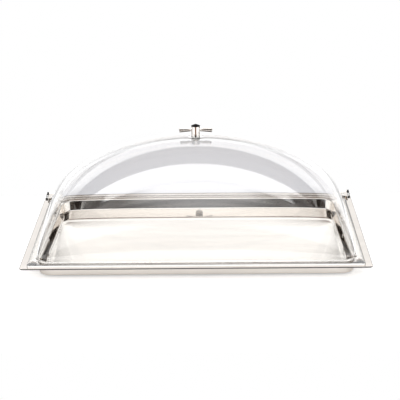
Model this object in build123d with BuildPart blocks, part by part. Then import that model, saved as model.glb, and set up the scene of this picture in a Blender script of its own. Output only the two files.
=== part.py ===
from build123d import *
import os
from math import cos, radians, sin, sqrt

# Roll-top display tray: a pressed steel tray, a clear domed lid that swings back, and a fluted knob.
os.makedirs("parts", exist_ok=True)

# Tray, of sheet steel
tray_length = 570
tray_width = 360
tray_corner = 6
sheet = 1.0
rim_top = 27.0
foot_height = 7.0
flange_width = 28.5
well_corner = 24
wall_draft = 14
floor_radius = 3
mouth_radius = 5
hem_width = 12
hem_drop = 1.2
apron_offset = 2.0
apron_bottom = 4.2
apron_corner = 21
apron_return = 5
apron_edge = 1.6

# Lid, one clear forming with a flat lip
dome_half_length = 262
dome_half_width = 161
skirt_height = 8
dome_rise = 157
lid_wall = 3.0
lid_corner = 22
lip_width = 12.5
lip_thickness = 3.0
lip_corner = 16
lip_blend = 3.5
end_angle = 84
middle_angles = (0, 20, 40, 60, 75)
corner_angles = (0, 30, 55, 75, 90)
crown_land_radius = 9.5
crown_land_depth = 0.3
crown_pad_depth = 0.5

# Knob on the crown of the lid
post_radius = 7.6
post_height = 18.6
post_edge = 0.4
post_bore_depth = 9.5
gasket_thickness = 0.8
gasket_radius = 7.2
wing_height = 12.8
wing_root = 6.6
wing_root_radius = 3.5
wing_tip_radius = 5.4
wing_reach = 28.5
wing_nose = 1.4
spigot_radius = 2.2
spigot_length = 3.0
flute_count = 6
flute_radius = 1.3
flute_lift = 0.45
cap_height = 3.4
cap_rim = 0.5
cap_top_radius = 1.4
cap_peg_radius = 2.6
cap_peg_length = 3.5
screw_radius = 2.5
screw_clearance = 0.2
screw_head_radius = 4.6
screw_head_height = 2.8
screw_reach = 8.5
washer_thickness = 1.0
washer_radius = 7.5

# Hinges at the two rear corners
axis_y = 173.6
axis_height = 3.1
pin_radius = 1.25
pin_clearance = 0.05
pin_head_radius = 2.1
pin_head_thickness = 0.8
knuckle_radius = 2.5
leaf_width = 11.9
leaf_length = 30
leaf_thickness = 1.6
leaf_overhang = 5.3
leaf_nose = 1.5
block_width = 4.4
block_gap = 0.4
block_front = 150
block_toe = 2.4
block_crown = 2.9
block_nose = 1.5
open_angle = 100
heel_clearance = 0.2
heel_spread = 40
heel_back = 85
rivet_radius = 1.2
rivet_head_radius = 2.0
rivet_head_height = 0.9
rivet_crown_radius = 0.7
rivet_tail_height = 0.8
leaf_rivet_inset = 3.2
leaf_rivet_y = (148, 157)
block_rivet_y = (154, 162)

# Play between a fixed shank and its hole
fit = 0.05

# Rubber feet under the floor
foot_radius = 9
foot_inset = 40
foot_edge = 1.2

# Sizes that follow from the ones above
well_length = tray_length - 2 * flange_width
well_width = tray_width - 2 * flange_width
floor_top = foot_height + sheet
apron_length = well_length + 2 * apron_offset
apron_width = well_width + 2 * apron_offset
apron_height = rim_top - sheet - apron_bottom
skirt_top = rim_top + skirt_height
crown = skirt_top + dome_rise
end_wall = dome_half_length * sin(radians(end_angle))
lip_top = rim_top + lip_thickness
lip_end = end_wall + lip_width
lip_side = dome_half_width + lip_width
crown_land = crown - crown_land_depth
crown_pad = crown - lid_wall - crown_pad_depth
post_bottom = crown_land + gasket_thickness
post_top = post_bottom + post_height
wing_z = post_bottom + wing_height
axis_z = rim_top + axis_height
leaf_outer = lip_end + leaf_overhang
leaf_inner = leaf_outer - leaf_width
leaf_rivet_x = leaf_inner + leaf_rivet_inset
block_inner = leaf_outer + block_gap
block_outer = block_inner + block_width
block_rivet_x = block_inner + block_width / 2
leaf_front = axis_y - leaf_length
leaf_top = lip_top + leaf_thickness
toe_top = rim_top + block_toe
hem_bottom = rim_top - sheet - hem_drop
foot_x = well_length / 2 - foot_inset
foot_y = well_width / 2 - foot_inset
sides = {"left": -1, "right": 1}
ends = {"front": -1, "rear": 1}
block_rivets_at = [(side * block_rivet_x, y) for side in sides.values() for y in block_rivet_y]
leaf_rivets_at = [(side * leaf_rivet_x, y) for side in sides.values() for y in leaf_rivet_y]


def finish(part, name):
    part.label = name
    export_step(part, f"parts/{name}.step")


# Plane across the tray at a given x, with y to the right and z up
def across(x):
    return Plane((x, 0, 0), x_dir=(0, 1, 0), z_dir=(1, 0, 0))


# A point on the plane across the tray, at an angle and distance from the hinge axis
def from_axis(angle, distance):
    return (axis_y + distance * cos(radians(angle)), axis_z + distance * sin(radians(angle)))


# A ring lying flat
def flat_ring(outer, inner, bottom, thickness):
    with BuildPart() as ring:
        with BuildSketch(Plane.XY.offset(bottom)):
            Circle(outer)
            Circle(inner, mode=Mode.SUBTRACT)
        extrude(amount=thickness)
    return ring.part


# A flat rectangular frame with rounded corners
def flat_frame(length, width, corner, band, bottom, thickness):
    inner_corner = max(corner - band, corner / 2)
    with BuildPart() as frame:
        with BuildSketch(Plane.XY.offset(bottom)):
            RectangleRounded(length, width, corner)
            RectangleRounded(length - 2 * band, width - 2 * band, inner_corner, mode=Mode.SUBTRACT)
        extrude(amount=thickness)
    return frame.part


# The space in the well, with its rounded floor edge and its flared mouth
with BuildPart() as well_space:
    with BuildSketch(Plane.XY.offset(rim_top)):
        RectangleRounded(well_length, well_width, well_corner)
    extrude(amount=floor_top - rim_top, taper=wall_draft)
    fillet(well_space.faces().sort_by(Axis.Z)[0].edges(), floor_radius)
    with BuildSketch(Plane.XY.offset(rim_top)):
        Rectangle(tray_length + 2 * sheet, tray_width + 2 * sheet)
    extrude(amount=2 * mouth_radius)
    above_rim = well_space.faces().filter_by(Plane.XY).group_by(Axis.Z)[1][0]
    fillet(above_rim.inner_wires()[0].edges(), mouth_radius)

# Tray: a flat hemmed flange round a shallow well, and an apron that hangs from it round the well
with BuildPart() as tray:
    with BuildSketch(Plane.XY.offset(rim_top)):
        RectangleRounded(well_length + 2 * sheet, well_width + 2 * sheet, well_corner + sheet)
    extrude(amount=foot_height - rim_top, taper=wall_draft)
    fillet(tray.faces().sort_by(Axis.Z)[0].edges(), floor_radius + sheet)
    with BuildSketch(Plane.XY.offset(rim_top - sheet)):
        RectangleRounded(tray_length, tray_width, tray_corner)
    extrude(amount=sheet)
    under_flange = tray.faces().filter_by(Plane.XY).group_by(Axis.Z)[1][0]
    fillet(under_flange.inner_wires()[0].edges(), mouth_radius - sheet)
    add(well_space.part, mode=Mode.SUBTRACT)
    add(flat_frame(tray_length, tray_width, tray_corner, hem_width, hem_bottom, hem_drop))
    add(flat_frame(apron_length, apron_width, apron_corner, sheet, apron_bottom, apron_height))
    add(flat_frame(apron_length, apron_width, apron_corner, apron_return, apron_bottom, sheet))
    fillet(tray.faces().sort_by(Axis.Z)[0].outer_wire().edges(), apron_edge)
    with BuildSketch(Plane.XY.offset(rim_top)):
        with Locations(block_rivets_at):
            Circle(rivet_radius + fit)
    extrude(amount=hem_bottom - rim_top, mode=Mode.SUBTRACT)
finish(tray.part, "base_tray")

# Feet: chamfered rubber discs under the floor's corners
for end_name, end in ends.items():
    for side_name, side in sides.items():
        with BuildPart() as foot:
            with BuildSketch():
                with Locations((side * foot_x, end * foot_y)):
                    Circle(foot_radius)
            extrude(amount=foot_height)
            chamfer(foot.edges().group_by(Axis.Z)[0], foot_edge)
        finish(foot.part, f"foot_{end_name}_{side_name}")


# The lid's vault: half ellipses on a low skirt, set across the lid. Their height follows an ellipse along
# it, and their width the rounded corners of its plan.
def vault_sections(inset, bottom):
    corner = lid_corner - inset
    straight = end_wall - lid_corner
    stations = [(straight * sin(radians(a)), dome_half_width - inset) for a in middle_angles]
    for angle in corner_angles:
        turn = radians(angle)
        stations.append((straight + corner * sin(turn), dome_half_width - lid_corner + corner * cos(turn)))
    stations = [(-x, half) for x, half in reversed(stations[1:])] + stations
    sections = []
    for x, half in stations:
        height = (dome_rise - inset) * sqrt(1 - (x / (dome_half_length - inset)) ** 2)
        with BuildSketch(across(x)) as section:
            with BuildLine():
                EllipticalCenterArc((0, skirt_top), half, height, arc_size=180)
                Polyline((-half, skirt_top), (-half, bottom), (half, bottom), (half, skirt_top))
            make_face()
        sections.append(section.sketch)
    return sections


# The air under the lid
with BuildPart() as lid_space:
    loft(vault_sections(lid_wall, rim_top - sheet))
    with BuildSketch(Plane.XY.offset(crown_pad)):
        Circle(crown_land_radius)
    extrude(amount=lid_wall, mode=Mode.SUBTRACT)

# Lid: a clear dome on a short skirt, with a flat lip that lies on the flange
with BuildPart() as lid:
    loft(vault_sections(0, rim_top))
    with BuildSketch(Plane.XY.offset(rim_top)):
        RectangleRounded(2 * lip_end, 2 * lip_side, lip_corner)
    extrude(amount=lip_thickness)
    over_lip = lid.faces().filter_by(Plane.XY).group_by(Axis.Z)[1][0]
    fillet(over_lip.inner_wires()[0].edges(), lip_blend)
    add(lid_space.part, mode=Mode.SUBTRACT)
    under_lip = lid.faces().filter_by(Plane.XY).group_by(Axis.Z)[0][0]
    fillet(under_lip.inner_wires()[0].edges(), lip_blend + lip_thickness)
    with BuildSketch(Plane.XY.offset(crown_land)):
        Circle(crown_land_radius)
    extrude(amount=lid_wall, mode=Mode.SUBTRACT)
    with BuildSketch(Plane.XY.offset(crown_pad)):
        Circle(screw_radius + screw_clearance)
    extrude(amount=2 * lid_wall, mode=Mode.SUBTRACT)
    with BuildSketch(Plane.XY.offset(rim_top)):
        with Locations(leaf_rivets_at):
            Circle(rivet_radius + fit)
    extrude(amount=lip_thickness, mode=Mode.SUBTRACT)
finish(lid.part, "lid_dome")

# Knob seals and washer round the screw hole
screw_hole = screw_radius + screw_clearance
inner_gasket_bottom = crown_pad - gasket_thickness
washer_bottom = inner_gasket_bottom - washer_thickness
finish(flat_ring(gasket_radius, screw_hole, crown_land, gasket_thickness), "knob_gasket")
finish(flat_ring(washer_radius, screw_hole, inner_gasket_bottom, gasket_thickness), "knob_inner_gasket")
finish(flat_ring(washer_radius, screw_hole, washer_bottom, washer_thickness), "knob_washer")

# Knob screw: a domed head under the washer and a shank up into the post
with BuildPart() as screw:
    with BuildSketch(Plane.XY.offset(washer_bottom)):
        Circle(screw_head_radius)
    extrude(amount=-screw_head_height)
    fillet(screw.edges().group_by(Axis.Z)[0], screw_head_height / 2)
    with BuildSketch(Plane.XY.offset(washer_bottom)):
        Circle(screw_radius)
    extrude(amount=post_bottom + screw_reach - washer_bottom)
finish(screw.part, "knob_screw")

# Knob post: a straight turned stem, bored for the screw, the cap's peg and the two wings
with BuildPart() as post:
    with BuildSketch(Plane.XY.offset(post_bottom)):
        Circle(post_radius)
    extrude(amount=post_height)
    chamfer(post.edges().group_by(Axis.Z)[0], post_edge)
    with BuildSketch(Plane.XY.offset(post_bottom)):
        Circle(screw_radius + fit)
    extrude(amount=post_bore_depth, mode=Mode.SUBTRACT)
    with BuildSketch(Plane.XY.offset(post_top)):
        Circle(cap_peg_radius + fit)
    extrude(amount=-cap_peg_length - fit, mode=Mode.SUBTRACT)
    for side in sides.values():
        with BuildSketch(across(side * wing_root)):
            with Locations((0, wing_z)):
                Circle(wing_root_radius + fit)
        extrude(amount=side * post_radius, mode=Mode.SUBTRACT)
        with BuildSketch(across(side * wing_root)):
            with Locations((0, wing_z)):
                Circle(spigot_radius + fit)
        extrude(amount=-side * (spigot_length + fit), mode=Mode.SUBTRACT)
finish(post.part, "knob_post")

# Knob wings: flared and fluted grips with a rounded end, each on its spigot
for side_name, side in sides.items():
    land = radians(180 / flute_count)
    flute_start = wing_root_radius + flute_lift
    flute_rise = wing_tip_radius - wing_root_radius
    flute_run = wing_reach - wing_nose - wing_root
    with BuildPart() as wing:
        with BuildSketch(Plane((0, 0, wing_z), x_dir=(1, 0, 0), z_dir=(0, -cos(land), sin(land)))):
            with BuildLine():
                Polyline(
                    (side * wing_reach, 0),
                    (side * (wing_root - spigot_length), 0),
                    (side * (wing_root - spigot_length), spigot_radius),
                    (side * wing_root, spigot_radius),
                    (side * wing_root, wing_root_radius),
                    (side * post_radius, wing_root_radius),
                    (side * (wing_reach - wing_nose), wing_tip_radius),
                )
                TangentArc(
                    (side * wing_reach, 0),
                    (side * (wing_reach - wing_nose), wing_tip_radius),
                    tangent=(0, 1),
                )
            make_face()
        revolve(axis=Axis((0, 0, wing_z), (1, 0, 0)))
        for index in range(flute_count):
            turn = radians(360 * (index + 0.5) / flute_count)
            outward = Vector(0, cos(turn), sin(turn))
            start = Vector(side * post_radius, 0, wing_z) + outward * flute_start
            along = Vector(side * flute_run, 0, 0) + outward * flute_rise
            with BuildSketch(Plane(origin=start, z_dir=along)):
                Circle(flute_radius)
            extrude(amount=wing_reach, mode=Mode.SUBTRACT)
    finish(wing.part, f"knob_wing_{side_name}")

# Knob cap: a low cone with a peg in the top of the post
with BuildPart() as cap:
    with BuildSketch(Plane.XZ):
        with BuildLine():
            Polyline(
                (0, post_top - cap_peg_length),
                (cap_peg_radius, post_top - cap_peg_length),
                (cap_peg_radius, post_top),
                (post_radius, post_top),
                (post_radius, post_top + cap_rim),
                (cap_top_radius, post_top + cap_height),
                (0, post_top + cap_height),
                close=True,
            )
        make_face()
    revolve(axis=Axis.Z)
    fillet(cap.edges().group_by(Axis.Z)[-1], cap_top_radius / 2)
finish(cap.part, "knob_cap")

# Hinge leaves on the lip: a strip, a knuckle round the pin and a heel that lands on the flange when open
for side_name, side in sides.items():
    heel_land = axis_height - heel_clearance
    heel_low = open_angle - 90
    heel_high = heel_low + heel_spread
    with BuildPart() as leaf:
        with BuildSketch(across(side * leaf_inner)):
            with BuildLine():
                Polyline(
                    (leaf_front, lip_top),
                    (axis_y, lip_top),
                    (axis_y, leaf_top),
                    (leaf_front, leaf_top),
                    close=True,
                )
            make_face()
            with Locations((axis_y, axis_z)):
                Circle(knuckle_radius)
            with BuildLine():
                Polyline(
                    (axis_y, axis_z),
                    from_axis(heel_low, heel_land),
                    from_axis(heel_high, heel_land / cos(radians(heel_spread))),
                    from_axis(heel_back, knuckle_radius),
                    close=True,
                )
            make_face()
            with Locations((axis_y, axis_z)):
                Circle(pin_radius + pin_clearance, mode=Mode.SUBTRACT)
        extrude(amount=side * leaf_width)
        fillet(leaf.edges().filter_by(Axis.Z).group_by(Axis.Y)[0], leaf_nose)
        with BuildSketch(Plane.XY.offset(lip_top)):
            with Locations([(side * leaf_rivet_x, y) for y in leaf_rivet_y]):
                Circle(rivet_radius + fit)
        extrude(amount=leaf_thickness, mode=Mode.SUBTRACT)
    finish(leaf.part, f"hinge_leaf_{side_name}")

# Hinge blocks on the flange: a low riveted toe and a rounded tower that holds the pin
for side_name, side in sides.items():
    with BuildPart() as block:
        with BuildSketch(across(side * block_inner)):
            with BuildLine():
                Polyline(
                    (block_front, rim_top),
                    (axis_y + block_crown, rim_top),
                    (axis_y + block_crown, axis_z),
                    (axis_y - block_crown, axis_z),
                    (axis_y - block_crown, toe_top),
                    (block_front, toe_top),
                    close=True,
                )
            make_face()
            with Locations((axis_y, axis_z)):
                Circle(block_crown)
                Circle(pin_radius + fit, mode=Mode.SUBTRACT)
        extrude(amount=side * block_width)
        fillet(block.edges().filter_by(Axis.Z).group_by(Axis.Y)[0], block_nose)
        with BuildSketch(Plane.XY.offset(rim_top)):
            with Locations([(side * block_rivet_x, y) for y in block_rivet_y]):
                Circle(rivet_radius + fit)
        extrude(amount=block_toe, mode=Mode.SUBTRACT)
    finish(block.part, f"hinge_block_{side_name}")

# Hinge pins: headed steel pins through a block into its knuckle
for side_name, side in sides.items():
    with BuildPart() as pin:
        with BuildSketch(across(side * block_outer)):
            with Locations((axis_y, axis_z)):
                Circle(pin_head_radius)
        extrude(amount=side * pin_head_thickness)
        with BuildSketch(across(side * block_outer)):
            with Locations((axis_y, axis_z)):
                Circle(pin_radius)
        extrude(amount=-side * (block_outer - leaf_inner - pin_clearance))
    finish(pin.part, f"hinge_pin_{side_name}")


# Domed rivets standing at given points, with an optional flat tail below
def rivets(points, seat, bottom, tail):
    with BuildPart() as group:
        with BuildSketch(Plane.XY.offset(seat)):
            with Locations(points):
                Circle(rivet_head_radius)
        extrude(amount=rivet_head_height)
        fillet(group.edges().group_by(Axis.Z)[-1], rivet_crown_radius)
        with BuildSketch(Plane.XY.offset(seat)):
            with Locations(points):
                Circle(rivet_radius)
        extrude(amount=bottom - seat)
        if tail:
            with BuildSketch(Plane.XY.offset(bottom)):
                with Locations(points):
                    Circle(rivet_head_radius)
            extrude(amount=-tail)
    return group.part


finish(rivets(block_rivets_at, toe_top, hem_bottom, rivet_tail_height), "block_rivets")
finish(rivets(leaf_rivets_at, leaf_top, rim_top + fit, 0), "leaf_rivets")
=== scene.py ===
import bpy
import math
from mathutils import Matrix, Vector


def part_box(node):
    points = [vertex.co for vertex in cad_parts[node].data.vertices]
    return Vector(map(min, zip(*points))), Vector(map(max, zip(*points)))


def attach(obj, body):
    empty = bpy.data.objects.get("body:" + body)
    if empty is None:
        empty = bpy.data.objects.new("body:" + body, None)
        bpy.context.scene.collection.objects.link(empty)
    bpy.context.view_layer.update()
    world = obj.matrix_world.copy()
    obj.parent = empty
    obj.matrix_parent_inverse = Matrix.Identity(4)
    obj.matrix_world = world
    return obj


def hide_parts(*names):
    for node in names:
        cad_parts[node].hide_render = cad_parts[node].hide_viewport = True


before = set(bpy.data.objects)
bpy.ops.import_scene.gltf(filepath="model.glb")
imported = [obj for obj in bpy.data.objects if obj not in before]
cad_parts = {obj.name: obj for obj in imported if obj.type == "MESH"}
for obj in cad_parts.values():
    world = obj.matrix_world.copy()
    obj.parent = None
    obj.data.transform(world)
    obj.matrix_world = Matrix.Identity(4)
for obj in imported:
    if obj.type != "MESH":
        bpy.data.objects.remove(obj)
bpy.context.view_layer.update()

print("tray loaded,", len(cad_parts), "nodes")


def selectNothing():
    if bpy.context.object and bpy.context.object.mode != "OBJECT":
        bpy.ops.object.mode_set(mode="OBJECT")
    bpy.ops.object.select_all(action="DESELECT")


def takeInHand(piece):
    selectNothing()
    piece.select_set(True)
    bpy.context.view_layer.objects.active = piece


def applyModifier(piece, kind, **values):
    takeInHand(piece)
    modifier = piece.modifiers.new(kind.title(), kind)
    for key, value in values.items():
        setattr(modifier, key, value)
    bpy.ops.object.modifier_apply(modifier=modifier.name)


# Shader helpers

def newMaterial(name):
    material = bpy.data.materials.new(name)
    material.use_nodes = True
    tree = material.node_tree
    return material, tree, tree.nodes["Principled BSDF"]


def addNode(tree, kind, **values):
    node = tree.nodes.new(kind)
    for key, value in values.items():
        setattr(node, key, value)
    return node


def setSockets(node, **values):
    for key, value in values.items():
        node.inputs[key.replace("_", " ")].default_value = value
    return node


def addRamp(tree, source, stops):
    node = addNode(tree, "ShaderNodeValToRGB")
    elements = node.color_ramp.elements
    while len(elements) < len(stops):
        elements.new(1.0)
    for element, (place, colour) in zip(elements, stops):
        element.position = place
        element.color = (*colour, 1.0)
    tree.links.new(source, node.inputs["Fac"])
    return node


def addMath(tree, operation, first, second=0.0):
    node = addNode(tree, "ShaderNodeMath", operation=operation)
    for socket, value in zip(node.inputs, (first, second)):
        if isinstance(value, float):
            socket.default_value = value
        else:
            tree.links.new(value, socket)
    return node.outputs["Value"]


def addSoftStep(tree, source, begin, end):
    node = addNode(tree, "ShaderNodeMapRange", interpolation_type="SMOOTHSTEP")
    tree.links.new(source, node.inputs["Value"])
    for name, value in (("From Min", begin), ("From Max", end)):
        if isinstance(value, float):
            node.inputs[name].default_value = value
        else:
            tree.links.new(value, node.inputs[name])
    return node.outputs["Result"]


def addMix(tree, share, first, second):
    node = addNode(tree, "ShaderNodeMix", data_type="RGBA")
    tree.links.new(share, node.inputs["Factor"])
    tree.links.new(first, node.inputs["A"])
    tree.links.new(second, node.inputs["B"])
    return node.outputs["Result"]


def plainColour(tree, colour):
    node = addNode(tree, "ShaderNodeRGB")
    node.outputs["Color"].default_value = (*colour, 1.0)
    return node.outputs["Color"]


# Wiping smudges and fine polishing marks, one pattern for every finish here
wear = dict(noiseLow=0.3, noiseHigh=0.7, markDepth=0.0002)


def buildWearGroup():
    group = bpy.data.node_groups.new("wipedSurface", "ShaderNodeTree")
    sockets = group.interface
    sockets.new_socket("Vector", in_out="INPUT", socket_type="NodeSocketVector")
    for name in ("Smudge Scale", "Mark Scale", "Rough Low", "Rough High"):
        sockets.new_socket(name, in_out="INPUT", socket_type="NodeSocketFloat")
    for name in ("Roughness", "Marks", "Smudge"):
        sockets.new_socket(name, in_out="OUTPUT", socket_type="NodeSocketFloat")
    start = group.nodes.new("NodeGroupInput")
    end = group.nodes.new("NodeGroupOutput")
    smudge = setSockets(group.nodes.new("ShaderNodeTexNoise"), Detail=5.0, Roughness=0.55)
    marks = setSockets(group.nodes.new("ShaderNodeTexNoise"), Detail=3.0, Roughness=0.6)
    spread = setSockets(group.nodes.new("ShaderNodeMapRange"), From_Min=wear["noiseLow"], From_Max=wear["noiseHigh"])
    link = group.links.new
    link(start.outputs["Vector"], smudge.inputs["Vector"])
    link(start.outputs["Vector"], marks.inputs["Vector"])
    link(start.outputs["Smudge Scale"], smudge.inputs["Scale"])
    link(start.outputs["Mark Scale"], marks.inputs["Scale"])
    link(smudge.outputs["Fac"], spread.inputs["Value"])
    link(start.outputs["Rough Low"], spread.inputs["To Min"])
    link(start.outputs["Rough High"], spread.inputs["To Max"])
    link(spread.outputs["Result"], end.inputs["Roughness"])
    link(marks.outputs["Fac"], end.inputs["Marks"])
    link(smudge.outputs["Fac"], end.inputs["Smudge"])
    return group


wearGroup = buildWearGroup()


def addWear(tree, bsdf, smudgeScale, markScale, rough, bump=0.0, stretch=(1, 1, 1)):
    place = addNode(tree, "ShaderNodeTexCoord")
    stretchNode = addNode(tree, "ShaderNodeMapping")
    stretchNode.inputs["Scale"].default_value = stretch
    worn = addNode(tree, "ShaderNodeGroup", node_tree=wearGroup)
    setSockets(worn, Smudge_Scale=smudgeScale, Mark_Scale=markScale, Rough_Low=rough[0], Rough_High=rough[1])
    tree.links.new(place.outputs["Object"], stretchNode.inputs["Vector"])
    tree.links.new(stretchNode.outputs["Vector"], worn.inputs["Vector"])
    tree.links.new(worn.outputs["Roughness"], bsdf.inputs["Roughness"])
    if bump:
        relief = setSockets(addNode(tree, "ShaderNodeBump"), Strength=bump, Distance=wear["markDepth"])
        tree.links.new(worn.outputs["Marks"], relief.inputs["Height"])
        tree.links.new(relief.outputs["Normal"], bsdf.inputs["Normal"])
    return worn


def wornMaterial(name, dark, bright, metallic, **wearValues):
    material, tree, bsdf = newMaterial(name)
    bsdf.inputs["Metallic"].default_value = metallic
    worn = addWear(tree, bsdf, **wearValues)
    tint = addRamp(tree, worn.outputs["Smudge"], ((wear["noiseLow"], dark), (wear["noiseHigh"], bright)))
    tree.links.new(tint.outputs["Color"], bsdf.inputs["Base Color"])
    return material


def clearLidMaterial():
    material, tree, bsdf = newMaterial("clearLid")
    setSockets(bsdf, Base_Color=(0.985, 0.99, 0.99, 1.0), Metallic=0.0, IOR=1.55, Transmission_Weight=1.0)
    addWear(tree, bsdf, smudgeScale=7.0, markScale=200.0, rough=(0.0, 0.01))
    return material


mirrorSteel = wornMaterial("mirrorSteel", (0.78, 0.735, 0.69), (0.84, 0.795, 0.75), 1.0,
                           smudgeScale=6.0, markScale=300.0, rough=(0.004, 0.016), bump=0.003, stretch=(1, 8, 8))
# painted shade: near-black steel for the dark line along the nose of the flange's fold
paintedShadeFold = wornMaterial("paintedShadeFold", (0.075, 0.071, 0.067), (0.11, 0.105, 0.10), 1.0,
                         smudgeScale=30.0, markScale=700.0, rough=(0.30, 0.45), bump=0.03)
pinSteel = wornMaterial("pinSteel", (0.52, 0.52, 0.51), (0.66, 0.66, 0.65), 1.0,
                        smudgeScale=90.0, markScale=1500.0, rough=(0.15, 0.30), bump=0.05)
blackMoulding = wornMaterial("blackMoulding", (0.010, 0.010, 0.010), (0.018, 0.017, 0.017), 0.0,
                             smudgeScale=40.0, markScale=2600.0, rough=(0.35, 0.50), bump=0.15)
blackCap = wornMaterial("blackCap", (0.006, 0.006, 0.006), (0.011, 0.010, 0.010), 0.0,
                        smudgeScale=60.0, markScale=2600.0, rough=(0.45, 0.60), bump=0.10)
blackCap.node_tree.nodes["Principled BSDF"].inputs["Specular IOR Level"].default_value = 0.03
footRubber = wornMaterial("footRubber", (0.020, 0.020, 0.020), (0.035, 0.034, 0.033), 0.0,
                          smudgeScale=40.0, markScale=1800.0, rough=(0.70, 0.90), bump=0.30)
paleSeal = wornMaterial("paleSeal", (0.70, 0.70, 0.68), (0.80, 0.80, 0.78), 0.0,
                        smudgeScale=40.0, markScale=1800.0, rough=(0.40, 0.55), bump=0.10)
sawn = dict(metallic=0.0, smudgeScale=50.0, markScale=900.0, rough=(0.45, 0.60), bump=0.05)
cutEdge = wornMaterial("cutEdge", (0.86, 0.85, 0.84), (0.92, 0.91, 0.90), **sawn)
# painted reflection: brown on the lip's back edge stands in for the dark line seen through the rear lip
paintedRearEdgeReflection = wornMaterial("paintedRearEdgeReflection", (0.30, 0.24, 0.20), (0.38, 0.31, 0.26), **sawn)
clearLid = clearLidMaterial()


# Knob: the same chrome all over, with painted shade darkening the flutes of the wings, fading toward the post
chrome = dict(dark=(0.70, 0.67, 0.64), bright=(0.80, 0.77, 0.74), metallic=1.0,
              smudgeScale=60.0, markScale=900.0, rough=(0.03, 0.08), bump=0.01)
wingLow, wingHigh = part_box("knob_wing_left")
wings = dict(axisHeight=0.5 * (wingLow.z + wingHigh.z), flutes=6.0, lowered=12.0, grooveFrom=-0.50, grooveTo=-0.92,
             fadeFrom=0.004, fadeTo=0.016, paintedFluteShade=(0.035, 0.031, 0.028))


def flutedChromeMaterial():
    material = wornMaterial("flutedChrome", **chrome)
    tree = material.node_tree
    baseColour = tree.nodes["Principled BSDF"].inputs["Base Color"]
    tint = baseColour.links[0].from_socket
    place = addNode(tree, "ShaderNodeTexCoord")
    split = addNode(tree, "ShaderNodeSeparateXYZ")
    tree.links.new(place.outputs["Object"], split.inputs["Vector"])
    above = addMath(tree, "SUBTRACT", split.outputs["Z"], wings["axisHeight"])
    turn = addMath(tree, "ARCTAN2", above, split.outputs["Y"])
    shifted = addMath(tree, "SUBTRACT", turn, math.radians(wings["lowered"]))
    wave = addMath(tree, "COSINE", addMath(tree, "MULTIPLY", shifted, wings["flutes"]))
    # painted shade: the flute valleys of the wings get a darker colour, as if shade fell in them
    groove = addSoftStep(tree, wave, wings["grooveFrom"], wings["grooveTo"])
    along = addSoftStep(tree, addMath(tree, "ABSOLUTE", split.outputs["X"]), wings["fadeFrom"], wings["fadeTo"])
    share = addMath(tree, "MULTIPLY", groove, along)
    tree.links.new(addMix(tree, share, tint, plainColour(tree, wings["paintedFluteShade"])), baseColour)
    return material


knobChrome = wornMaterial("knobChrome", **chrome)
flutedChrome = flutedChromeMaterial()
print("finishes made")


# Finish of each node that stays as it is
finishes = {
    "foot_front_left": footRubber, "foot_front_right": footRubber,
    "foot_rear_left": footRubber, "foot_rear_right": footRubber,
    "hinge_block_left": blackMoulding, "hinge_block_right": blackMoulding,
    "hinge_leaf_left": mirrorSteel, "hinge_leaf_right": mirrorSteel,
    "hinge_pin_left": pinSteel, "hinge_pin_right": pinSteel,
    "block_rivets": pinSteel, "leaf_rivets": pinSteel,
    "knob_gasket": paleSeal, "knob_inner_gasket": paleSeal,
    "knob_washer": pinSteel, "knob_screw": pinSteel,
    "knob_post": knobChrome, "knob_wing_left": flutedChrome, "knob_wing_right": flutedChrome,
    "knob_cap": blackCap,
}


def smoothNode(piece, weldGap=0.000002, splitAngle=30.0):
    for face in piece.data.polygons:
        face.use_smooth = True
    weld = piece.modifiers.new("Weld", "WELD")
    weld.merge_threshold = weldGap
    split = piece.modifiers.new("Split", "EDGE_SPLIT")
    split.split_angle = math.radians(splitAngle)
    weighted = piece.modifiers.new("Weighted", "WEIGHTED_NORMAL")
    weighted.keep_sharp = True


for nodeName, finish in finishes.items():
    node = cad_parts[nodeName]
    node.data.materials.clear()
    node.data.materials.append(finish)
    smoothNode(node)
print("nodes finished")


# Modelling helpers; an outline is a rounded rectangle: half length, half width, corner
creaseAngle = math.radians(40.0)
rivets = dict(hole=0.00125, head=0.002)
drill = dict(sides=24, past=0.002)


def movedOutline(point, old, new, height):
    # the same place on another outline, straight runs by share and corners by angle
    signs = [math.copysign(1.0, point.x), math.copysign(1.0, point.y)]
    runs = [old[0] - old[2], old[1] - old[2]]
    share = [min(1.0, abs(point.x) / runs[0]), min(1.0, abs(point.y) / runs[1])]
    lean = Vector((max(0.0, abs(point.x) - runs[0]), max(0.0, abs(point.y) - runs[1])))
    lean.normalize()
    x = share[0] * (new[0] - new[2]) + lean.x * new[2]
    y = share[1] * (new[1] - new[2]) + lean.y * new[2]
    return Vector((signs[0] * x, signs[1] * y, height))


def drawOutEdge(piece, place):
    # the open edge is extruded once and each new point set in its place
    takeInHand(piece)
    bpy.ops.object.mode_set(mode="EDIT")
    bpy.ops.mesh.select_mode(type="EDGE")
    bpy.ops.mesh.select_all(action="DESELECT")
    bpy.ops.mesh.select_non_manifold(extend=False, use_wire=False, use_multi_face=False,
                                     use_non_contiguous=False, use_verts=False)
    bpy.ops.mesh.extrude_edges_move()
    bpy.ops.object.mode_set(mode="OBJECT")
    for vertex in piece.data.vertices:
        if vertex.select:
            vertex.co = place(vertex.co)


def drawRings(piece, line, rings):
    for nextLine, height in rings:
        drawOutEdge(piece, lambda point: movedOutline(point, line, nextLine, height))
        line = nextLine


def editWhole(piece):
    takeInHand(piece)
    bpy.ops.object.mode_set(mode="EDIT")
    bpy.ops.mesh.select_all(action="SELECT")


def turnOut(piece):
    editWhole(piece)
    bpy.ops.mesh.normals_make_consistent(inside=False)
    bpy.ops.object.mode_set(mode="OBJECT")


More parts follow.
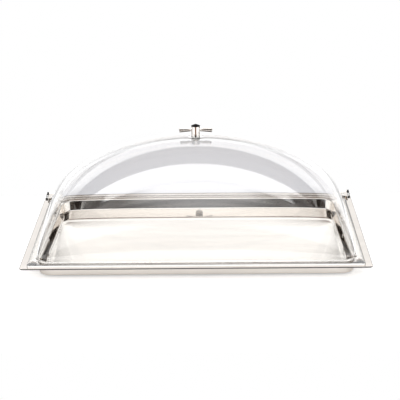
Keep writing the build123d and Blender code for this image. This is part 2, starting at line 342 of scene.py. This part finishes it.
def startOutline(name, line, height):
    steps = tray["cornerSteps"]
    selectNothing()
    bpy.ops.mesh.primitive_circle_add(vertices=4 * (steps + 1), fill_type="NGON")
    piece = bpy.context.object
    piece.name = piece.data.name = name
    for index, vertex in enumerate(piece.data.vertices):
        quarter, step = divmod(index, steps + 1)
        turn = 0.5 * math.pi * (quarter + step / steps)
        signX = 1.0 if quarter in (0, 3) else -1.0
        signY = 1.0 if quarter in (0, 1) else -1.0
        x = signX * (line[0] - line[2]) + line[2] * math.cos(turn)
        y = signY * (line[1] - line[2]) + line[2] * math.sin(turn)
        vertex.co = (x, y, height)
    return piece


def rivetPlaces(name):
    # the rivets stand in the corners of their box
    low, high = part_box(name)
    head = rivets["head"]
    return [(x, y) for x in (low.x + head, high.x - head) for y in (low.y + head, high.y - head)]


def drillHoles(piece, places, radius, low, high):
    bits = []
    for x, y in places:
        selectNothing()
        bpy.ops.mesh.primitive_cylinder_add(vertices=drill["sides"], radius=radius, depth=high - low,
                                            location=(x, y, 0.5 * (low + high)))
        bits.append(bpy.context.object)
    selectNothing()
    for bit in bits:
        bit.select_set(True)
    bpy.context.view_layer.objects.active = bits[0]
    if len(bits) > 1:
        bpy.ops.object.join()
    cutter = bpy.context.object
    applyModifier(piece, "BOOLEAN", operation="DIFFERENCE", solver="EXACT", object=cutter)
    takeInHand(cutter)
    bpy.ops.object.delete()


def giveFinishes(piece, *materials):
    piece.data.materials.clear()
    for material in materials:
        piece.data.materials.append(material)


# Tray: floor, well wall, mouth, flange and hem as one sheet of steel, and the apron as another
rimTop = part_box("base_tray")[1].z
tray = dict(halfLength=0.285, halfWidth=0.180, corner=0.006, sheet=0.001, slimming=0.98,
            floorTop=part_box("foot_front_left")[1].z + 0.001, floorMargin=0.004,
            wellLength=0.2565, wellWidth=0.1515, wellCorner=0.024, draft=14.0, mouthRound=0.0022, floorRound=0.0022,
            foldRound=0.0011, foldFlat=0.985, hemWidth=0.012, drillDepth=0.005,
            apronOffset=0.002, apronBottom=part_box("base_tray")[0].z, apronCorner=0.021, apronReturn=0.005,
            apronRound=0.0016, cornerSteps=20, roundSteps=7)


def wellLine(out):
    return (tray["wellLength"] + out, tray["wellWidth"] + out, tray["wellCorner"] + out)


def flangeLine(out, corner=None):
    return (tray["halfLength"] + out, tray["halfWidth"] + out, corner or tray["corner"] + out)


def apronLine(out):
    return (tray["wellLength"] + tray["apronOffset"] + out, tray["wellWidth"] + tray["apronOffset"] + out,
            tray["apronCorner"] + out)


def roundTurns(first, last):
    steps = tray["roundSteps"]
    return [math.radians(first + (last - first) * step / steps) for step in range(steps + 1)]


def giveSheet(piece):
    applyModifier(piece, "SOLIDIFY", thickness=tray["slimming"] * tray["sheet"], offset=-1.0, use_even_offset=True)


def makeTraySheet():
    draft = math.radians(tray["draft"])
    low, mouth, fold = tray["floorRound"], tray["mouthRound"], tray["foldRound"]
    depth = rimTop - tray["floorTop"]
    floorIn = -(low + (depth - low) * math.sin(draft)) / math.cos(draft)
    mouthOut = mouth * (1.0 - math.sin(draft)) / math.cos(draft)
    rings = []
    for turn in roundTurns(90.0, tray["draft"]):
        rings.append((wellLine(floorIn + low * math.cos(turn)), tray["floorTop"] + low * (1.0 - math.sin(turn))))
    for turn in roundTurns(tray["draft"], 90.0):
        rings.append((wellLine(mouthOut - mouth * math.cos(turn)), rimTop - mouth * (1.0 - math.sin(turn))))
    for turn in roundTurns(90.0, -90.0):
        rings.append((flangeLine(fold * (math.cos(turn) - 1.0)), rimTop - fold * (1.0 - math.sin(turn))))
    rings.append((flangeLine(-tray["hemWidth"], 0.5 * tray["corner"]), rimTop - 2.0 * fold))
    start = wellLine(floorIn - tray["floorMargin"])
    piece = startOutline("traySheet", start, tray["floorTop"])
    drawRings(piece, start, rings)
    turnOut(piece)
    if piece.data.polygons[0].normal.z < 0.0:
        piece.data.flip_normals()
    giveSheet(piece)
    return piece


def makeApron():
    edge, bottom = tray["apronRound"], tray["apronBottom"]
    start = apronLine(-tray["apronReturn"])
    rings = []
    for turn in roundTurns(90.0, 0.0):
        rings.append((apronLine(edge * (math.cos(turn) - 1.0)), bottom + edge * (1.0 - math.sin(turn))))
    rings.append((apronLine(0.0), rimTop - 0.5 * tray["sheet"]))
    piece = startOutline("trayApron", start, bottom)
    drawRings(piece, start, rings)
    turnOut(piece)
    if piece.data.polygons[0].normal.z > 0.0:
        piece.data.flip_normals()
    # the face that closed the opening goes, and the strip gets its thickness
    takeInHand(piece)
    bpy.ops.object.mode_set(mode="EDIT")
    bpy.ops.mesh.select_mode(type="FACE")
    bpy.ops.mesh.select_all(action="DESELECT")
    bpy.ops.object.mode_set(mode="OBJECT")
    piece.data.polygons[0].select = True
    bpy.ops.object.mode_set(mode="EDIT")
    bpy.ops.mesh.delete(type="ONLY_FACE")
    bpy.ops.object.mode_set(mode="OBJECT")
    giveSheet(piece)
    return piece


def makeTray():
    piece = makeTraySheet()
    drillHoles(piece, rivetPlaces("block_rivets"), rivets["hole"], rimTop - tray["drillDepth"], rimTop + drill["past"])
    apron = makeApron()
    takeInHand(piece)
    apron.select_set(True)
    bpy.ops.object.join()
    bpy.ops.object.shade_smooth_by_angle(angle=creaseAngle)
    applyModifier(piece, "WEIGHTED_NORMAL", keep_sharp=True)
    giveFinishes(piece, mirrorSteel, paintedShadeFold)
    # the nose of the fold at the flange's edge gets painted shade: near-black steel that draws a dark line along the
    # edge
    for face in piece.data.polygons:
        outward = max(abs(face.center.x) - tray["halfLength"], abs(face.center.y) - tray["halfWidth"])
        face.material_index = int(outward > -tray["foldRound"] and abs(face.normal.z) < tray["foldFlat"])
    return piece


traySheet = makeTray()
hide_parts("base_tray")
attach(traySheet, "base")
print("tray made,", len(traySheet.data.polygons), "faces")


# Lid: vault, skirt, blend and lip as one sheet, given its wall afterwards
lid = dict(halfLength=0.262, halfWidth=0.161, rise=0.157, skirtTop=rimTop + 0.008, corner=0.022, endAngle=84.0,
           lipTop=rimTop + 0.003, lipWidth=0.0125, lipCorner=0.016, frontCorner=0.004, blend=0.0035, wall=0.00295,
           edgeRound=0.0006, edgeAngle=50.0, edgeDepth=0.0008, edgeFlat=0.9,
           landRadius=0.0095, landTop=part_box("knob_gasket")[0].z, padBottom=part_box("knob_inner_gasket")[1].z,
           screwHole=0.0027, drillHeight=0.006, mergeGap=0.000005,
           middleSteps=80, cornerSteps=16, archSteps=120, blendSteps=6)


def vaultStations():
    endWall = lid["halfLength"] * math.sin(math.radians(lid["endAngle"]))
    straight = endWall - lid["corner"]
    half = []
    for step in range(lid["middleSteps"]):
        turn = 0.5 * math.pi * step / lid["middleSteps"]
        half.append((straight * math.sin(turn), lid["halfWidth"]))
    for step in range(lid["cornerSteps"] + 1):
        turn = 0.5 * math.pi * step / lid["cornerSteps"]
        width = lid["halfWidth"] - lid["corner"] * (1.0 - math.cos(turn))
        half.append((straight + lid["corner"] * math.sin(turn), width))
    return [(-x, width) for x, width in reversed(half[1:])] + half


def vaultPoint(x, width, lift):
    height = lid["rise"] * math.sqrt(1.0 - (x / lid["halfLength"]) ** 2)
    point = Vector((x, -width * math.cos(lift), lid["skirtTop"] + height * math.sin(lift)))
    if point.xy.length < lid["landRadius"]:
        point.z = min(point.z, lid["landTop"])  # flat land for the knob
    return point


def lipCornerAt(point):
    # the lip is squarer in front than at the hinges
    return lid["frontCorner"] if point.y < 0.0 else lid["lipCorner"]


def makeVault(stations):
    selectNothing()
    bpy.ops.mesh.primitive_grid_add(x_subdivisions=len(stations) - 1, y_subdivisions=lid["archSteps"], size=2.0)
    piece = bpy.context.object
    piece.name = piece.data.name = "lidShell"
    for vertex in piece.data.vertices:
        column = round((vertex.co.x + 1.0) * 0.5 * (len(stations) - 1))
        lift = math.pi * (vertex.co.y + 1.0) * 0.5
        vertex.co = vaultPoint(*stations[column], lift)
    # the end arches come down to the spring line
    drawOutEdge(piece, lambda point: Vector((point.x, point.y, lid["skirtTop"])))
    editWhole(piece)
    bpy.ops.mesh.remove_doubles(threshold=lid["mergeGap"])
    bpy.ops.mesh.dissolve_degenerate(threshold=lid["mergeGap"])
    bpy.ops.object.mode_set(mode="OBJECT")
    return piece


def giveLidWall(piece):
    applyModifier(piece, "SOLIDIFY", thickness=lid["wall"], offset=-1.0, use_even_offset=True)
    for vertex in piece.data.vertices:
        if vertex.co.xy.length < lid["landRadius"] and vertex.co.z < lid["landTop"] - 0.5 * lid["wall"]:
            vertex.co.z = lid["padBottom"]
    applyModifier(piece, "BEVEL", width=lid["edgeRound"], segments=3, limit_method="ANGLE",
                  angle_limit=math.radians(lid["edgeAngle"]))


def makeLidShell():
    stations = vaultStations()
    piece = makeVault(stations)
    endWall = stations[-1][0]
    line = (endWall, lid["halfWidth"], lid["corner"])
    rings = []
    for step in range(lid["blendSteps"] + 1):
        turn = 0.5 * math.pi * step / lid["blendSteps"]
        out = lid["blend"] * (1.0 - math.cos(turn))
        blendLine = (endWall + out, lid["halfWidth"] + out, lid["corner"] + out)
        rings.append((blendLine, lid["lipTop"] + lid["blend"] * (1.0 - math.sin(turn))))
    drawRings(piece, line, rings)
    lipLine = (endWall + lid["lipWidth"], lid["halfWidth"] + lid["lipWidth"])
    drawOutEdge(piece, lambda point: movedOutline(point, blendLine, (*lipLine, lipCornerAt(point)), lid["lipTop"]))
    print("lid sheet drawn,", len(piece.data.vertices), "points")

    turnOut(piece)
    giveLidWall(piece)
    drillHoles(piece, rivetPlaces("leaf_rivets"), rivets["hole"], rimTop - drill["past"], rimTop + lid["drillHeight"])
    drillHoles(piece, [(0.0, 0.0)], lid["screwHole"], lid["padBottom"] - drill["past"], lid["landTop"] + drill["past"])
    takeInHand(piece)
    bpy.ops.object.shade_smooth_by_angle(angle=creaseAngle)
    giveFinishes(piece, clearLid, cutEdge, paintedRearEdgeReflection)
    # the sawn edge of the lip is matt, clean along the front, and along the back painted brown as a painted dark
    # reflection line
    for face in piece.data.polygons:
        corner = lipCornerAt(face.center)
        lean = Vector((max(0.0, abs(face.center.x) - lipLine[0] + corner),
                       max(0.0, abs(face.center.y) - lipLine[1] + corner)))
        atEdge = corner - lean.length < lid["edgeDepth"] and abs(face.normal.z) < lid["edgeFlat"]
        if atEdge and abs(face.normal.y) > abs(face.normal.x):
            face.material_index = 1 if face.normal.y < 0.0 else 2
    return piece


lidShell = makeLidShell()
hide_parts("lid_dome")
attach(lidShell, "lid")
print("lid made,", len(lidShell.data.polygons), "faces")


# Studio: a sheet of white paper, white all round it, and what bright surfaces find to mirror
studio = dict(sheetHalf=0.42, sheetFront=-0.42, sheetBack=0.24, paper=(1.0, 1.0, 1.0), white=(1.0, 1.0, 1.0),
              throughLid=(0.73, 0.72, 0.75), farWall=(1.5, 1.48, 1.45), farBegins=0.90, farSoftness=0.05,
              paperGlow=0.38, mirroredGlow=0.03)
copper = (0.24, 0.12, 0.065)
darkRoom = (0.020, 0.015, 0.012)
coolGap = (0.10, 0.12, 0.18)
brownGap = (0.22, 0.15, 0.11)


def grey(level):
    return (level, level, level)


# each row: degrees up from the front, colour in the middle, colour off to the side, where the side begins, how softly
outsideBands = (
    (-90, copper, grey(1.5), 0.30, 0.04),
    (-12, copper, grey(1.5), 0.30, 0.04),
    (-8, darkRoom, grey(1.5), 0.30, 0.04),
    (18, darkRoom, grey(1.5), 0.30, 0.04),
    (26, grey(1.5), grey(0.5), 0.14, 0.14),
    (42, grey(4.4), grey(0.7), 0.14, 0.14),
    (52, grey(5.2), grey(0.7), 0.16, 0.14),
    (60, grey(6.0), grey(0.7), 0.22, 0.10),
    (74, grey(6.0), grey(0.7), 0.24, 0.08),
    (76.5, grey(4.8), darkRoom, 0.43, 0.02),
    (78, grey(6.0), darkRoom, 0.43, 0.02),
    (88, grey(6.0), darkRoom, 0.44, 0.02),
    (96, grey(6.0), darkRoom, 0.50, 0.02),
    (101, grey(6.0), darkRoom, 0.53, 0.02),
    (104, coolGap, darkRoom, 0.60, 0.05),
    (134, coolGap, darkRoom, 0.60, 0.05),
    (137, grey(2.5), darkRoom, 0.60, 0.05),
    (155, grey(2.5), darkRoom, 0.60, 0.05),
    (156.2, grey(1.08), darkRoom, 0.60, 0.05),
    (161.5, grey(1.08), darkRoom, 0.60, 0.05),
    (162.7, grey(2.5), darkRoom, 0.60, 0.05),
    (188, grey(2.5), grey(1.2), 0.60, 0.05),
    (192, grey(1.2), grey(1.2), 0.60, 0.05),
    (201.5, grey(1.0), grey(1.2), 0.60, 0.05),
    (204, copper, darkRoom, 0.30, 0.20))
insideBands = (
    (-90, grey(1.0), grey(1.0), 0.30, 0.04),
    (-12, grey(1.0), grey(1.0), 0.30, 0.04),
    (-8, darkRoom, grey(1.5), 0.65, 0.05),
    (18, darkRoom, grey(1.5), 0.65, 0.05),
    (26, grey(1.4), darkRoom, 0.60, 0.04),
    (101, grey(1.4), darkRoom, 0.60, 0.04),
    (104, brownGap, darkRoom, 0.50, 0.04),
    (134, brownGap, darkRoom, 0.50, 0.04),
    (137, grey(1.3), grey(1.2), 0.30, 0.04),
    (156.8, grey(1.3), grey(1.2), 0.30, 0.04),
    (158.6, grey(1.48), grey(1.2), 0.30, 0.04),
    (159.6, grey(1.6), grey(1.2), 0.30, 0.04),
    (160.6, brownGap, grey(1.4), 0.116, 0.008),
    (162.2, brownGap, grey(1.4), 0.116, 0.008),
    (163.0, brownGap, darkRoom, 0.19, 0.04),
    (206, darkRoom, darkRoom, 0.19, 0.04))
# degrees up from the front, strength of the light that falls on matt surfaces
fillBands = ((-90, 1.0), (0, 1.6), (50, 1.6), (90, 1.0), (130, 0.6), (180, 0.6), (270, 0.6))


def makeSheet():
    selectNothing()
    middle = 0.5 * (studio["sheetFront"] + studio["sheetBack"])
    bpy.ops.mesh.primitive_plane_add(size=1.0, location=(0.0, middle, 0.0))
    sheet = bpy.context.object
    sheet.name = "floorSheet"
    sheet.scale = (2.0 * studio["sheetHalf"], studio["sheetBack"] - studio["sheetFront"], 1.0)
    bpy.ops.object.transform_apply(location=True, rotation=True, scale=True)
    material, tree, bsdf = newMaterial("floorPaper")
    setSockets(bsdf, Base_Color=(*studio["paper"], 1.0), Roughness=1.0)
    bsdf.inputs["Specular IOR Level"].default_value = 0.0
    # the paper is shown white to the eye and through the clear lid, less so in the steel, and lights nothing by it
    path = addNode(tree, "ShaderNodeLightPath")
    shown = addMath(tree, "MAXIMUM", path.outputs["Is Camera Ray"], path.outputs["Is Transmission Ray"])
    shown = addMath(tree, "MULTIPLY", shown, studio["paperGlow"])
    mirrored = addMath(tree, "MULTIPLY", path.outputs["Is Glossy Ray"], studio["mirroredGlow"])
    glow = addMath(tree, "MAXIMUM", shown, mirrored)
    bsdf.inputs["Emission Color"].default_value = (1.0, 1.0, 1.0, 1.0)
    tree.links.new(glow, bsdf.inputs["Emission Strength"])
    sheet.data.materials.append(material)


def bandRamp(tree, turned, bands):
    # bands run from under the front, over the camera and the top, to the back
    ramp = addRamp(tree, turned, [((degrees + 90.0) / 360.0, colour) for degrees, colour in bands])
    return ramp.outputs["Color"]


def mirroredSight(tree, turned, aside, bands):
    middle = bandRamp(tree, turned, [(band[0], band[1]) for band in bands])
    side = bandRamp(tree, turned, [(band[0], band[2]) for band in bands])
    begins = bandRamp(tree, turned, [(band[0], grey(band[3])) for band in bands])
    softness = bandRamp(tree, turned, [(band[0], grey(band[4])) for band in bands])
    near = addMath(tree, "SUBTRACT", begins, softness)
    far = addMath(tree, "ADD", begins, softness)
    return addMix(tree, addSoftStep(tree, aside, near, far), middle, side)


def lightStudio():
    world = bpy.data.worlds.new("whiteStudio")
    bpy.context.scene.world = world
    world.use_nodes = True
    world.cycles.sampling_method = "NONE"
    tree = world.node_tree
    place = addNode(tree, "ShaderNodeTexCoord")
    split = addNode(tree, "ShaderNodeSeparateXYZ")
    tree.links.new(place.outputs["Generated"], split.inputs["Vector"])
    around = addMath(tree, "ARCTAN2", split.outputs["Y"], split.outputs["Z"])
    angle = addNode(tree, "ShaderNodeMapRange")
    setSockets(angle, From_Min=-math.pi, From_Max=math.pi, To_Min=0.0, To_Max=1.0)
    tree.links.new(around, angle.inputs["Value"])
    turned = angle.outputs["Result"]
    aside = addMath(tree, "ABSOLUTE", split.outputs["X"])

    # whether the ray has come through the lid, off something bright or off something matt
    path = addNode(tree, "ShaderNodeLightPath")
    isInside = addMath(tree, "GREATER_THAN", path.outputs["Transmission Depth"], 0.5)
    isMirrored = addMath(tree, "GREATER_THAN", path.outputs["Glossy Depth"], 0.5)
    isScattered = addMath(tree, "GREATER_THAN", path.outputs["Diffuse Depth"], 0.5)
    outside = mirroredSight(tree, turned, aside, outsideBands)
    inside = mirroredSight(tree, turned, aside, insideBands)
    farShare = addSoftStep(tree, aside, studio["farBegins"] - studio["farSoftness"],
                           studio["farBegins"] + studio["farSoftness"])
    inside = addMix(tree, farShare, inside, plainColour(tree, studio["farWall"]))
    mirrored = addMix(tree, isInside, outside, inside)
    white = addMix(tree, isInside, plainColour(tree, studio["white"]), plainColour(tree, studio["throughLid"]))
    seen = addMix(tree, isMirrored, white, mirrored)
    fill = bandRamp(tree, turned, [(degrees, grey(strength)) for degrees, strength in fillBands])
    background = tree.nodes["Background"]
    tree.links.new(addMix(tree, isScattered, seen, fill), background.inputs["Color"])
    background.inputs["Strength"].default_value = 1.0


# Camera at the photograph's place, its lens for a square picture
camera = dict(place=(0.02807, -1.97273, 0.76497 + rimTop), pitch=19.90, yaw=-0.642, roll=-0.675,
              focalPixels=1213.0, picturePixels=400.0, sensor=36.0, reach=20.0)


def placeCamera():
    selectNothing()
    bpy.ops.object.camera_add()
    eye = bpy.context.object
    eye.name = "photoCamera"
    pitch, yaw, roll = (math.radians(camera[key]) for key in ("pitch", "yaw", "roll"))
    forward = Vector((math.sin(yaw) * math.cos(pitch), math.cos(yaw) * math.cos(pitch), -math.sin(pitch)))
    right = Vector((math.cos(yaw), -math.sin(yaw), 0.0))
    up = right.cross(forward)
    tiltedRight = math.cos(roll) * right + math.sin(roll) * up
    tiltedUp = math.cos(roll) * up - math.sin(roll) * right
    turn = Matrix((tiltedRight, tiltedUp, -forward)).transposed()
    eye.matrix_world = Matrix.Translation(camera["place"]) @ turn.to_4x4()
    eye.data.sensor_width = camera["sensor"]
    eye.data.lens = camera["focalPixels"] / camera["picturePixels"] * camera["sensor"]
    eye.data.clip_end = camera["reach"]
    bpy.context.scene.camera = eye


makeSheet()
lightStudio()
placeCamera()
bpy.context.scene.view_settings.view_transform = "Standard"
# a clear lid over bright steel needs long light paths
bpy.context.scene.cycles.max_bounces = 32
bpy.context.scene.cycles.glossy_bounces = 24
bpy.context.scene.cycles.transmission_bounces = 32
print("studio and camera set")
